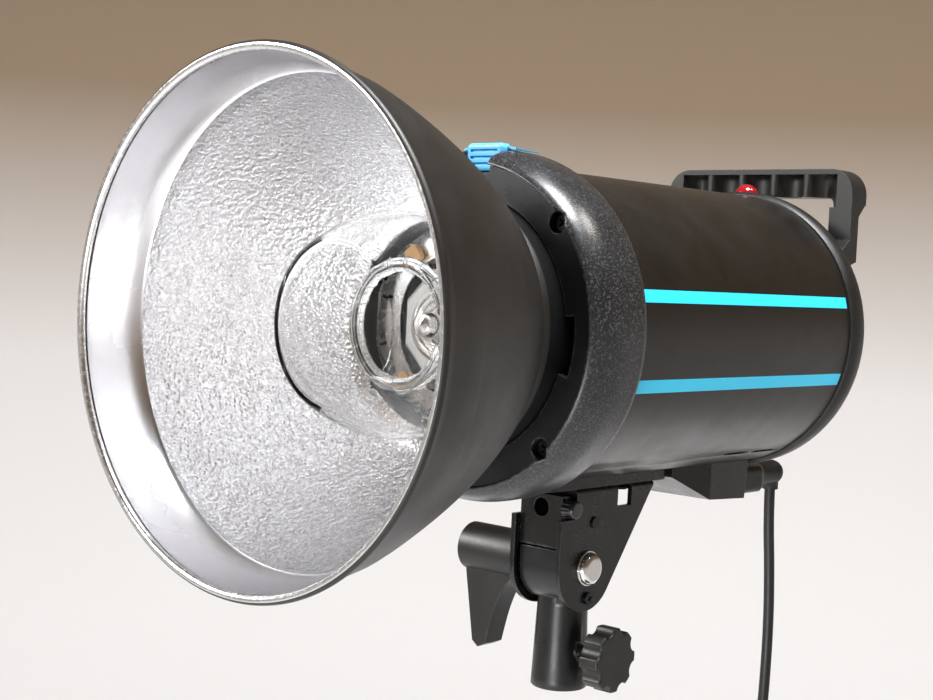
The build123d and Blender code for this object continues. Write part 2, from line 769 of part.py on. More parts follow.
# The cord hangs down from the connector; the rest of its length is a tied coil below.
coil_y, coil_z, coil_mean = 152.0, -114.0, 33.0
coil_half_width, coil_half_depth = 12.4, 11.4
tail_x, tail_top, plug_top = 3.0, -136.0, -178.0
route = [
    (0, exit_y, exit_z),
    (0, exit_y + 0.6, exit_z - 18),
    (0, exit_y + 4.6, exit_z - 44),
    (0, exit_y + 7.4, exit_z - 78),
    (0, exit_y + 6.6, exit_z - 116),
    (0, exit_y + 3.6, exit_z - 150),
    (0, exit_y + 3.0, exit_z - 165),
]
tail = [
    (tail_x, coil_y + 36, tail_top),
    (tail_x, coil_y + 35.2, tail_top - 13),
    (tail_x, coil_y + 32.6, tail_top - 28),
    (tail_x, coil_y + 31.8, plug_top + 1),
]


def corner_radii(points):
    """The largest arc at each corner: 0.45 of its shorter run over the tangent of half its turn."""
    radii = []
    for before, here, after in zip(points, points[1:], points[2:]):
        run_in, run_out = Vector(*here) - Vector(*before), Vector(*after) - Vector(*here)
        shorter = min(run_in.length, run_out.length)
        radii.append(0.45 * shorter / tan(radians(run_in.get_angle(run_out)) / 2))
    return radii


for cord_name, points in (("cord_tube", route), ("cord_tail", tail)):
    cord_radii = corner_radii(points)
    with BuildPart() as cord_piece:
        with BuildLine() as cord_line:
            FilletPolyline(*points, radius=cord_radii)
        cord_path = cord_line.wire()
        with BuildSketch(Plane(origin=cord_path @ 0, z_dir=cord_path % 0)):
            Circle(cord_r)
        sweep(path=cord_path)
    print(cord_name, "radii", [round(r) for r in cord_radii], "length", round(cord_path.length, 1))
    print("volume over section times length", cord_piece.part.volume / (pi * cord_r**2 * cord_path.length))
    save(cord_piece, cord_name)

coil_plane = Plane(origin=(0, coil_y, coil_z), x_dir=(1, 0, 0), z_dir=(0, -1, 0))
coil_axis = Axis((0, coil_y, coil_z), (1, 0, 0))
with BuildPart() as cord_coil:
    with BuildSketch(coil_plane):
        with Locations((0, coil_mean)):
            RectangleRounded(2 * coil_half_width, 2 * coil_half_depth, 8)
    revolve(axis=coil_axis)
save(cord_coil, "cord_coil")

tie_arc, tie_thick = 15.0, 1.5
with BuildPart() as cord_tie:
    with BuildSketch(coil_plane):
        with Locations((0, coil_mean)):
            RectangleRounded(2 * (coil_half_width + tie_thick), 2 * (coil_half_depth + tie_thick), 9)
            RectangleRounded(2 * coil_half_width + 0.1, 2 * coil_half_depth + 0.1, 8, mode=Mode.SUBTRACT)
    revolve(axis=coil_axis, revolution_arc=tie_arc)
save(cord_tie, "cord_tie")

plug_y, plug_r, plug_length = coil_y + 31.8, 17.5, 36.0
with BuildPart() as mains_plug:
    with BuildSketch(Plane(origin=(tail_x, plug_y, plug_top), x_dir=(1, 0, 0), z_dir=(0, -1, 0))):
        with BuildLine():
            Polyline(
                (0, 0), (4.6, 0), (5.6, -8), (9.5, -12), (15.5, -20), (plug_r, -24), (plug_r, -plug_length),
                (0, -plug_length), close=True,
            )
        make_face()
    revolve(axis=Axis((tail_x, plug_y, plug_top), (0, 0, 1)))
    with BuildSketch(level(plug_top - plug_length + 1, tail_x, plug_y)):
        with Locations((0, -9.5), (0, 9.5)):
            Circle(2.4)
    extrude(amount=-20)
save(mains_plug, "mains_plug")

# ---- bracket on the strobe -------------------------------------------------------------------
rail_front, rail_back, rail_half = -30.0, 60.0, 13.5
yoke_out = yoke_gap + yoke_sheet
window_front, window_back, window_low = 19.0, 30.0, 83.4
notch_back, notch_low = -12.0, 80.0
corner_y, corner_z = 48.3, rail_under

with BuildPart() as bracket_rail:
    with BuildSketch(level(rail_under)):
        with Locations((0, (rail_front + rail_back) / 2)):
            RectangleRounded(2 * rail_half, rail_back - rail_front, 3)
    extrude(amount=10)
    with BuildSketch(station(rail_back + 5)):
        Circle(tube_r + 0.02)
    extrude(amount=rail_back - rail_front + 10, mode=Mode.SUBTRACT)
    with BuildSketch(level(rail_under - 1)):
        with Locations((0, 12), (0, 40)):
            Circle(1.6)
    extrude(amount=20, mode=Mode.SUBTRACT)
save(bracket_rail, "bracket_rail")

lean = atan2(corner_z - pivot_z, corner_y - pivot_y)
reach = sqrt((corner_z - pivot_z) ** 2 + (corner_y - pivot_y) ** 2)
tangent_angle = lean - pi / 2 + asin(yoke_end_r / reach)
tangent_y = pivot_y + yoke_end_r * cos(tangent_angle)
tangent_z = pivot_z + yoke_end_r * sin(tangent_angle)

with BuildPart() as bracket_yoke:
    with BuildSketch(side(-yoke_out)):
        with BuildLine():
            Polyline(
                (pivot_y - yoke_end_r, pivot_z), (pivot_y - yoke_end_r, notch_low), (notch_back, notch_low),
                (notch_back, corner_z), (corner_y, corner_z), (tangent_y, tangent_z),
            )
            ThreePointArc(
                (tangent_y, tangent_z), (pivot_y, pivot_z - yoke_end_r), (pivot_y - yoke_end_r, pivot_z),
            )
        make_face()
    extrude(amount=2 * yoke_out)
    top_edges = bracket_yoke.edges().filter_by(Axis.Y).group_by(Axis.Z)[-1]
    fillet(top_edges, 1.8)
    with BuildSketch(side(-yoke_gap)):
        with BuildLine():
            Polyline((-60, 0), (80, 0), (80, web_under), (-60, web_under), close=True)
        make_face()
    extrude(amount=2 * yoke_gap, mode=Mode.SUBTRACT)
    with BuildSketch(side(-yoke_out - 1)):
        with Locations(((window_front + window_back) / 2, (window_low + 100) / 2)):
            RectangleRounded(window_back - window_front, 100 - window_low, 1)
    extrude(amount=2 * yoke_out + 2, mode=Mode.SUBTRACT)
    with BuildSketch(side(-yoke_out - 1)):
        with Locations((pivot_y, pivot_z)):
            Circle(bolt_r + 0.03)
    extrude(amount=2 * yoke_out + 2, mode=Mode.SUBTRACT)
    with BuildSketch(side(yoke_gap - 1)):
        with Locations((pivot_y + 1.5, pivot_z - 14)):
            Circle(1.55)
    extrude(amount=6, mode=Mode.SUBTRACT)
    with BuildSketch(side(-yoke_out - 1)):
        with Locations((2.0, 77.4)):
            Circle(1.55)
    extrude(amount=2 * yoke_out + 2, mode=Mode.SUBTRACT)
    with BuildSketch(level(web_under - 1)):
        with Locations((0, 12), (0, 40)):
            Circle(1.6)
    extrude(amount=5, mode=Mode.SUBTRACT)
save(bracket_yoke, "bracket_yoke")

with BuildPart() as rail_screws:
    for screw_y in (12, 40):
        with BuildSketch(level(web_under, 0, screw_y)):
            Circle(3.4)
        extrude(amount=-2.2)
        with BuildSketch(level(web_under, 0, screw_y)):
            Circle(1.55)
        extrude(amount=9.6)
        with BuildSketch(level(web_under - 2.2, 0, screw_y)):
            Rectangle(4.2, 0.9)
            Rectangle(0.9, 4.2)
        extrude(amount=1.1, mode=Mode.SUBTRACT)
save(rail_screws, "rail_screws")

umbrella_r, umbrella_z, clamp_back = 4.25, 84.5, 8.0
thumb_y, thumb_z = -17.0, 85.2
with BuildPart() as umbrella_clamp:
    with BuildSketch(side(-yoke_gap + 0.15)):
        with BuildLine():
            Polyline(
                (pivot_y - block_r, 60), (pivot_y - block_r, web_under - 0.1), (clamp_back, web_under - 0.1),
                (clamp_back, 60), close=True,
            )
        make_face()
        with Locations((pivot_y, pivot_z)):
            Circle(block_top_r + 0.4, mode=Mode.SUBTRACT)
    extrude(amount=2 * yoke_gap - 0.3)
    with BuildSketch(station(clamp_back + 1, 0)):
        with Locations((0, umbrella_z)):
            Circle(umbrella_r)
    extrude(amount=40, mode=Mode.SUBTRACT)
    with BuildSketch(side(0)):
        with Locations((thumb_y, thumb_z)):
            Circle(2.05)
    extrude(amount=20, mode=Mode.SUBTRACT)
    with BuildSketch(side(-20)):
        with Locations((2.0, 77.4)):
            Circle(1.55)
    extrude(amount=40, mode=Mode.SUBTRACT)
save(umbrella_clamp, "umbrella_clamp")

with BuildPart() as clamp_rivet:
    with BuildSketch(side(-yoke_out - 0.9)):
        with Locations((2.0, 77.4)):
            Circle(2.8)
    extrude(amount=0.9)
    with BuildSketch(side(-yoke_out - 0.5)):
        with Locations((2.0, 77.4)):
            Circle(1.5)
    extrude(amount=2 * yoke_out + 1)
    with BuildSketch(side(yoke_out)):
        with Locations((2.0, 77.4)):
            Circle(2.8)
    extrude(amount=0.9)
save(clamp_rivet, "clamp_rivet")

with BuildPart() as umbrella_screw:
    with BuildSketch(side(umbrella_r + 0.1)):
        with Locations((thumb_y, thumb_z)):
            Circle(2.0)
    extrude(amount=12)
save(umbrella_screw, "umbrella_screw")

thumb_in = yoke_gap + 0.6
with BuildPart() as umbrella_thumb:
    with BuildSketch(side(thumb_in)):
        with Locations((thumb_y, thumb_z)):
            Circle(4.2)
            Circle(2.03, mode=Mode.SUBTRACT)
    extrude(amount=4)
    with BuildSketch(side(thumb_in + 4)):
        with Locations((thumb_y, thumb_z)):
            Circle(4.2)
    extrude(amount=2.4)
    cap_edge = umbrella_thumb.edges().group_by(Axis.X)[-1]
    fillet(cap_edge, 1.2)
    with BuildSketch(side(thumb_in)):
        with Locations((thumb_y, thumb_z)):
            with PolarLocations(4.5, 12):
                Circle(0.6)
    extrude(amount=4, mode=Mode.SUBTRACT)
save(umbrella_thumb, "umbrella_thumb")

with BuildPart() as stop_screw:
    with BuildSketch(side(yoke_out)):
        with Locations((pivot_y + 1.5, pivot_z - 14)):
            Circle(2.8)
    extrude(amount=1.5)
    with BuildSketch(side(yoke_gap + 0.3)):
        with Locations((pivot_y + 1.5, pivot_z - 14)):
            Circle(1.5)
    extrude(amount=2.4)
    with BuildSketch(side(yoke_out + 1.5)):
        with Locations((pivot_y + 1.5, pivot_z - 14)):
            Rectangle(3.6, 0.8, rotation=20)
            Rectangle(0.8, 3.6, rotation=20)
    extrude(amount=-0.8, mode=Mode.SUBTRACT)
save(stop_screw, "stop_screw")

with BuildPart() as pivot_bolt:
    with BuildSketch(side(yoke_out + 0.05)):
        with Locations((pivot_y, pivot_z)):
            Circle(8.0)
    extrude(amount=1.2)
    with BuildSketch(side(yoke_out + 1.25)):
        with Locations((pivot_y, pivot_z)):
            Circle(7.4)
    extrude(amount=3.6)
    dome_edge = pivot_bolt.edges().group_by(Axis.X)[-1]
    fillet(dome_edge, 3.3)
    with BuildSketch(side(yoke_out + 0.5)):
        with Locations((pivot_y, pivot_z)):
            Circle(bolt_r)
    extrude(amount=-2 * yoke_out - 12)
save(pivot_bolt, "pivot_bolt")

# ---- tilt lever on the far side ---------------------------------------------------------------
nut_end, hub_in, hub_out, hub_r = -35.0, -17.6, -54.0, 11.5
flange_in, flange_out, lift = -37.0, -39.2, 6.0
with BuildPart() as clamp_nut:
    with BuildSketch(side(-yoke_out - 0.1)):
        with Locations((pivot_y, pivot_z)):
            Circle(9.0)
    extrude(amount=-1.6)
    with BuildSketch(side(-yoke_out - 1.6)):
        with Locations((pivot_y, pivot_z)):
            Circle(6.2)
    extrude(amount=-(-yoke_out - 1.6 - nut_end))
    with BuildSketch(side(nut_end)):
        with Locations((pivot_y, pivot_z)):
            RegularPolygon(7.5, 6)
    extrude(amount=4)
    with BuildSketch(side(-yoke_out)):
        with Locations((pivot_y, pivot_z)):
            Circle(bolt_r + 0.05)
    extrude(amount=-13.0, mode=Mode.SUBTRACT)
    with BuildSketch(side(nut_end)):
        with Locations((pivot_y, pivot_z)):
            Circle(2.05)
    extrude(amount=6.5, mode=Mode.SUBTRACT)
save(clamp_nut, "clamp_nut")

with BuildPart() as tilt_lever:
    with BuildSketch(side(hub_out)):
        with Locations((pivot_y, pivot_z)):
            Circle(hub_r)
    extrude(amount=hub_in - hub_out)
    with BuildSketch(station(pivot_y - 6.2, 0)):
        with BuildLine():
            Polyline((hub_in, pivot_z), (hub_in - 0.4, 49.0))
            Spline((hub_in - 0.4, 49.0), (-30.5, 38.0), (-38.6, 12.6), tangents=[(-1, -0.25), (-0.25, -1)])
            Polyline((-38.6, 12.6), (-43, 10.4), (-46.6, 13.0), (hub_out, pivot_z - 2), (hub_out, pivot_z))
            Line((hub_out, pivot_z), (hub_in, pivot_z))
        make_face()
    extrude(amount=-12.4)
    with BuildSketch(side(hub_in + 1)):
        with Locations((pivot_y, pivot_z)):
            Circle(7.8)
    extrude(amount=-(hub_in + 1 + 30.8), mode=Mode.SUBTRACT)
    with BuildSketch(side(-30.0)):
        with Locations((pivot_y, pivot_z)):
            RegularPolygon(7.66, 6)
    extrude(amount=-(-30.0 - flange_in), mode=Mode.SUBTRACT)
    with BuildSketch(side(flange_in + 0.5)):
        with Locations((pivot_y, pivot_z)):
            Circle(2.7)
    extrude(amount=-4, mode=Mode.SUBTRACT)
    with BuildSketch(side(flange_out)):
        with Locations((pivot_y, pivot_z)):
            Circle(5.6)
    extrude(amount=-20, mode=Mode.SUBTRACT)
save(tilt_lever, "tilt_lever")

head_in = hub_out + 1.8
with BuildPart() as lever_screw:
    with BuildSketch(side(head_in)):
        with Locations((pivot_y, pivot_z)):
            Circle(5.2)
    extrude(amount=-3)
    with BuildSketch(side(head_in)):
        with Locations((pivot_y, pivot_z)):
            Circle(2.0)
    extrude(amount=23)
    with BuildSketch(side(head_in - 3)):
        with Locations((pivot_y, pivot_z)):
            Rectangle(6.4, 1.1)
            Rectangle(1.1, 6.4)
    extrude(amount=1.4, mode=Mode.SUBTRACT)
save(lever_screw, "lever_screw")

with BuildPart() as lever_spring:
    with BuildLine() as coil_line:
        Helix(
            pitch=(flange_out - head_in - 1.4) / 5, height=flange_out - head_in - 1.4, radius=4.2,
            center=(head_in + 0.7, pivot_y, pivot_z), direction=(1, 0, 0),
        )
    with BuildSketch(Plane(origin=coil_line.line @ 0, z_dir=coil_line.line % 0)):
        Circle(0.5)
    sweep(path=coil_line.line, is_frenet=True)
save(lever_spring, "lever_spring")

# ---- stand socket and its clamp screw -----------------------------------------------------------
stud_z, stud_r, knob_in, knob_out, knob_r = 17.5, 3.0, 21.5, 32.0, 14.6
with BuildPart() as stand_socket:
    with BuildSketch(side(-block_half)):
        with Locations((pivot_y, pivot_z)):
            Circle(block_r)
        with BuildLine():
            Polyline(
                (pivot_y - block_r, pivot_z), (pivot_y - block_r, pivot_z + 8.88), (pivot_y, pivot_z + 8.88),
                (pivot_y, pivot_z), close=True,
            )
        make_face()
    extrude(amount=2 * block_half)
    with BuildSketch(level(0)):
        Circle(socket_mouth_r)
    with BuildSketch(level(46)):
        Circle(socket_top_r)
    loft()
    mouth_edge = stand_socket.edges().group_by(Axis.Z)[0]
    chamfer(mouth_edge, 0.6)
    with BuildSketch(level(0)):
        Circle(socket_bore)
    extrude(amount=socket_depth, mode=Mode.SUBTRACT)
    with BuildSketch(side(-20)):
        with Locations((pivot_y, pivot_z)):
            Circle(bolt_r + running)
    extrude(amount=40, mode=Mode.SUBTRACT)
    with BuildSketch(side(0)):
        with Locations((0, stud_z)):
            Circle(stud_r + 0.05)
    extrude(amount=20, mode=Mode.SUBTRACT)
save(stand_socket, "stand_socket")

with BuildPart() as friction_washers:
    for washer_x in (-block_half - 1.0, block_half):
        with BuildSketch(side(washer_x)):
            with Locations((pivot_y, pivot_z)):
                Circle(9.5)
                Circle(bolt_r + running, mode=Mode.SUBTRACT)
        extrude(amount=1.0)
save(friction_washers, "friction_washers")

with BuildPart() as stand_stud:
    with BuildSketch(side(socket_bore + 0.15)):
        with Locations((0, stud_z)):
            Circle(stud_r)
    extrude(amount=20)
    tip = stand_stud.edges().group_by(Axis.X)[0]
    chamfer(tip, 0.5)
save(stand_stud, "stand_stud")

with BuildPart() as stand_knob:
    with BuildSketch(side(knob_in)):
        with Locations((0, stud_z)):
            Circle(knob_r)
            with PolarLocations(knob_r + 1.9, 8, start_angle=22.5):
                Circle(4.1, mode=Mode.SUBTRACT)
    extrude(amount=knob_out - knob_in)
    star_edges = stand_knob.faces().filter_by(Axis.X).edges()
    fillet(star_edges, 1.0)
    with BuildSketch(side(knob_in + 1)):
        with Locations((0, stud_z)):
            Circle(6.6)
    extrude(amount=-5.2)
    with BuildSketch(side(knob_in - 6)):
        with Locations((0, stud_z)):
            Circle(stud_r + 0.04)
    extrude(amount=12.9, mode=Mode.SUBTRACT)
save(stand_knob, "stand_knob")

# ---- inside the body ---------------------------------------------------------------------------
shelf_z, shelf_t, shelf_half = axis_height - 34, 1.5, 54.0
fan_y, fan_z, fan_half, fan_depth = 116.5, axis_height + 2, 27.0, 13.0
board_z = shelf_z + 7.5
board_posts = [(-40, -30), (40, -30), (-40, 70), (40, 70)]
with BuildPart() as chassis:
    with BuildSketch(level(shelf_z)):
        with Locations((0, 34.5)):
            Rectangle(2 * shelf_half, 166)
    extrude(amount=shelf_t)
    with BuildSketch(station(-48.5)):
        Circle(tube_r - tube_wall - 0.3)
        Circle(50, mode=Mode.SUBTRACT)
    extrude(amount=1.5)
    with BuildSketch(station(118)):
        Circle(tube_r - tube_wall - 0.3)
        with Locations((0, fan_z - axis_height)):
            Circle(25.2, mode=Mode.SUBTRACT)
        with PolarLocations(52, 5, start_angle=18):
            Circle(6, mode=Mode.SUBTRACT)
    extrude(amount=1.5)
    with BuildSketch(level(shelf_z)):
        with Locations(*board_posts):
            Circle(3)
    extrude(amount=board_z - shelf_z)
    with BuildSketch(level(shelf_z - 1)):
        with Locations(*board_posts):
            Circle(1.2)
    extrude(amount=12, mode=Mode.SUBTRACT)
save(chassis, "chassis")

with BuildPart() as main_board:
    with BuildSketch(level(board_z)):
        with Locations((0, 20)):
            Rectangle(96, 120)
    extrude(amount=1.6)
save(main_board, "main_board")

with BuildPart() as capacitors:
    for cap_x in (-24, 24):
        with BuildSketch(station(30, board_z + 1.7 + 18)):
            with Locations((cap_x, 0)):
                Circle(18)
        extrude(amount=62)
save(capacitors, "capacitors")

with BuildPart() as fan_frame:
    with BuildSketch(station(fan_y, fan_z)):
        RectangleRounded(2 * fan_half, 2 * fan_half, 4)
        Circle(25.2, mode=Mode.SUBTRACT)
    extrude(amount=fan_depth)
    with BuildSketch(station(fan_y, fan_z)):
        Circle(11)
        for arm in range(4):
            with Locations(Location((0, 0, 0), (0, 0, 45 + 90 * arm))):
                with Locations((18, 0)):
                    Rectangle(16, 3)
    extrude(amount=1.6)
    with BuildSketch(station(fan_y, fan_z)):
        Circle(1.6)
    extrude(amount=9)
save(fan_frame, "fan_frame")

with BuildPart() as fan_rotor:
    with BuildSketch(station(fan_y - 2.2, fan_z)):
        Circle(10.5)
    extrude(amount=9.6)
    for blade in range(7):
        turn = 360 / 7 * blade
        out = Vector(cos(radians(turn)), 0, sin(radians(turn)))
        root = Vector(0, fan_y - 7, fan_z) + out * 9
        with BuildSketch(Plane(origin=root, x_dir=(0, 1, 0), z_dir=out)):
            Rectangle(9.5, 1.1, rotation=35)
        extrude(amount=15)
    with BuildSketch(station(fan_y + 1, fan_z)):
        Circle(1.66)
    extrude(amount=10.6, mode=Mode.SUBTRACT)
save(fan_rotor, "fan_rotor")
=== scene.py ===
import math

import bmesh
import bpy
from mathutils import Matrix, Vector


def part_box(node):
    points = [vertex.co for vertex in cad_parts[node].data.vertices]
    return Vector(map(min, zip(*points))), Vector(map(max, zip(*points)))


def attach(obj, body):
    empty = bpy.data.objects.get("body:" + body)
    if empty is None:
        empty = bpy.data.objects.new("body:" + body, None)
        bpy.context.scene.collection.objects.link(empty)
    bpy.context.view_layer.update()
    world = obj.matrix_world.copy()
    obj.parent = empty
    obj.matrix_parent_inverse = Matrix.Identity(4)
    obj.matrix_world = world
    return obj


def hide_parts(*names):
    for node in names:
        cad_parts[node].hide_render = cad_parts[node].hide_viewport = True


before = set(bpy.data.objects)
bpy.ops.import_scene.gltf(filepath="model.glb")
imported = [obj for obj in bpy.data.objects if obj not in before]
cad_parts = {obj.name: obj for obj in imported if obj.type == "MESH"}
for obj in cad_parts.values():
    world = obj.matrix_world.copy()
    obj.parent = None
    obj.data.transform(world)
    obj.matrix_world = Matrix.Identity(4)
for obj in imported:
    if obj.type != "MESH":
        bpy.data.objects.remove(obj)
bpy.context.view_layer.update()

MM = 0.001
SCENE = bpy.context.scene


def link(obj):
    SCENE.collection.objects.link(obj)
    return obj


def mm(x, y, z):
    """A point given in millimetres, in metres."""
    return Vector((x * MM, y * MM, z * MM))


# ---- places read from the frame --------------------------------------------------------
tube_low, tube_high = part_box("body_tube")
AXIS_Z = 0.5 * (tube_low[2] + tube_high[2])
TUBE_R = 0.5 * (tube_high[0] - tube_low[0])


# ---- camera --------------------------------------------------------------------------
CAMERA_PLACE = Vector((0.42666, -0.55697, 0.18822))
CAMERA_RIGHT = Vector((0.74593, 0.66424, 0.04879))
CAMERA_UP = Vector((-0.07007, 0.00543, 0.99753))


def make_camera():
    """The camera, at the photograph's viewing angle."""
    back = CAMERA_RIGHT.cross(CAMERA_UP).normalized()
    turn = Matrix((CAMERA_RIGHT, CAMERA_UP, back)).transposed().to_4x4()
    data = bpy.data.cameras.new("camera")
    data.sensor_width = 36.0
    data.lens = 59.0
    data.clip_start, data.clip_end = 0.01, 60.0
    camera = link(bpy.data.objects.new("camera", data))
    camera.matrix_world = Matrix.Translation(CAMERA_PLACE) @ turn
    SCENE.camera = camera


make_camera()

# ---- material kit -----------------------------------------------------------------------


class Nodes:
    """A material's node tree, with short ways to add nodes to it."""

    def __init__(self, name):
        self.material = bpy.data.materials.new(name)
        self.material.use_nodes = True
        self.tree = self.material.node_tree
        self.shader = self.tree.nodes["Principled BSDF"]
        self.place = self.add("ShaderNodeTexCoord").outputs["Object"]

    def add(self, kind, **settings):
        """A new node, with its settings."""
        node = self.tree.nodes.new(kind)
        for key, value in settings.items():
            setattr(node, key, value)
        return node

    def wire(self, source, target):
        self.tree.links.new(source, target)

    def set(self, **sockets):
        """Plain values on the shader's own sockets."""
        for key, value in sockets.items():
            self.shader.inputs[key.replace("_", " ")].default_value = value

    def noise(self, scale, detail=3.0, rough=0.55, place=None):
        node = self.add("ShaderNodeTexNoise")
        node.inputs["Scale"].default_value = scale
        node.inputs["Detail"].default_value = detail
        node.inputs["Roughness"].default_value = rough
        self.wire(place or self.place, node.inputs["Vector"])
        return node.outputs["Fac"]

    def ramp(self, source, stops):
        """A colour that follows source through stops of (place, colour)."""
        node = self.add("ShaderNodeValToRGB")
        ramp = node.color_ramp
        while len(ramp.elements) < len(stops):
            ramp.elements.new(0.5)
        for element, (where, colour) in zip(ramp.elements, stops):
            element.position = where
            element.color = (*colour, 1.0)
        self.wire(source, node.inputs["Fac"])
        return node.outputs["Color"]

    def span(self, source, low, high, out_low, out_high):
        """Source between low and high, carried over to between out_low and out_high."""
        node = self.add("ShaderNodeMapRange")
        ends = {"From Min": low, "From Max": high, "To Min": out_low, "To Max": out_high}
        for key, value in ends.items():
            node.inputs[key].default_value = value
        self.wire(source, node.inputs["Value"])
        return node.outputs["Result"]

    def maths(self, operation, first, second):
        """A sum or product of two values, each a socket or a number."""
        node = self.add("ShaderNodeMath", operation=operation)
        for socket, value in zip(node.inputs, (first, second)):
            if isinstance(value, (int, float)):
                socket.default_value = value
            else:
                self.wire(value, socket)
        return node.outputs["Value"]

    def mix(self, factor, first, second):
        """Two colours mixed by a factor."""
        node = self.add("ShaderNodeMix", data_type="RGBA")
        factor_at, first_at, second_at = (node.inputs[i] for i in (0, 6, 7))
        for socket, value in ((factor_at, factor), (first_at, first), (second_at, second)):
            if isinstance(value, (int, float)):
                socket.default_value = value
            elif isinstance(value, (tuple, list)):
                socket.default_value = (*value[:3], 1.0)
            else:
                self.wire(value, socket)
        return node.outputs[2]

    def bump(self, height, distance, strength=1.0, normal=None):
        node = self.add("ShaderNodeBump")
        node.inputs["Strength"].default_value = strength
        node.inputs["Distance"].default_value = distance
        self.wire(height, node.inputs["Height"])
        if normal is not None:
            self.wire(normal, node.inputs["Normal"])
        return node.outputs["Normal"]

    def soft_edges(self, radius):
        """A surface normal with rounded edges."""
        node = self.add("ShaderNodeBevel", samples=4)
        node.inputs["Radius"].default_value = radius
        return node.outputs["Normal"]

    def worn(self, radius=0.0012):
        """1 on convex edges and 0 on flat faces, broken up by noise."""
        node = self.add("ShaderNodeBevel", samples=4)
        node.inputs["Radius"].default_value = radius
        geometry = self.add("ShaderNodeNewGeometry")
        dot = self.add("ShaderNodeVectorMath", operation="DOT_PRODUCT")
        self.wire(node.outputs["Normal"], dot.inputs[0])
        self.wire(geometry.outputs["Normal"], dot.inputs[1])
        edge = self.span(dot.outputs["Value"], 0.985, 0.82, 0.0, 1.0)
        broken = self.span(self.noise(340, 4), 0.42, 0.62, 0.0, 1.0)
        return self.maths("MULTIPLY", edge, broken)


MATERIALS = {}
BARE_METAL = (0.4, 0.4, 0.4)


def finish(
    name, colour, rough, metal=0.0, grain=900.0, depth=0.00006, vary=0.18, coat=0.0, edge=0.0004, wear=0.0,
    smudge=0.08,
):
    """Paint or moulded plastic: colour and gloss that vary, a fine grain in the surface and worn edges."""
    n = Nodes(name)
    cloud = n.noise(22, 5)
    dark = tuple(c * (1 - vary) for c in colour)
    light = tuple(min(1.0, c * (1 + vary)) for c in colour)
    shade = n.ramp(cloud, ((0.3, dark), (0.7, light)))
    fine = n.noise(grain, 4, 0.6)
    if wear:
        shade = n.mix(n.maths("MULTIPLY", n.worn(), wear), shade, BARE_METAL)
    n.wire(shade, n.shader.inputs["Base Color"])
    streak = n.maths("ADD", n.span(n.noise(60, 6), 0.3, 0.7, -smudge, smudge), rough)
    n.wire(n.maths("ADD", streak, n.span(fine, 0.3, 0.7, -0.03, 0.03)), n.shader.inputs["Roughness"])
    n.wire(n.bump(fine, depth, 0.6, n.soft_edges(edge) if edge else None), n.shader.inputs["Normal"])
    n.set(Metallic=metal, Coat_Weight=coat, Coat_Roughness=0.12)
    MATERIALS[name] = n.material
    return n


def brushed(name, colour, rough, stretch=(1, 1, 30), grain=500, depth=0.00001, edge=0.0003):
    """Bare metal with fine brushing along one direction."""
    n = Nodes(name)
    mapping = n.add("ShaderNodeMapping")
    mapping.inputs["Scale"].default_value = stretch
    n.wire(n.place, mapping.inputs["Vector"])
    lines = n.noise(grain, 3, 0.6, mapping.outputs["Vector"])
    cloud = n.noise(40, 4)
    dull = tuple(c * 0.85 for c in colour)
    n.wire(n.ramp(cloud, ((0.3, dull), (0.7, colour))), n.shader.inputs["Base Color"])
    n.wire(n.span(lines, 0.3, 0.7, rough - 0.06, rough + 0.08), n.shader.inputs["Roughness"])
    n.wire(n.bump(lines, depth, 0.5, n.soft_edges(edge)), n.shader.inputs["Normal"])
    n.set(Metallic=1.0)
    MATERIALS[name] = n.material
    return n


def speckled(name, colour, speck, rough):
    """Dark grey paint with fine light and dark flecks."""
    n = finish(
        name, colour, rough, grain=1500, depth=0.00005, vary=0.12, edge=0.0005, wear=0.35, smudge=0.05,
    )
    grain = n.ramp(n.noise(1100, 2), ((0.52, (0, 0, 0)), (0.66, (1, 1, 1))))
    base = n.shader.inputs["Base Color"].links[0].from_socket
    n.wire(n.mix(n.maths("MULTIPLY", grain, 0.6), base, speck), n.shader.inputs["Base Color"])
    return n


def clear(name, tint, rough=0.02, ior=1.46, wave=0.00002):
    """Clear glass or plastic, a little uneven as pressed glass is."""
    n = Nodes(name)
    n.wire(n.bump(n.noise(45, 2), wave, 0.35), n.shader.inputs["Normal"])
    haze = n.span(n.noise(70, 5), 0.45, 0.75, rough, rough + 0.03)
    n.wire(haze, n.shader.inputs["Roughness"])
    n.wire(n.ramp(n.noise(30, 3), ((0.3, tint), (0.7, tuple(min(1.0, c * 1.04) for c in tint)))),
           n.shader.inputs["Base Color"])
    n.set(Transmission_Weight=1.0, IOR=ior)
    MATERIALS[name] = n.material
    return n


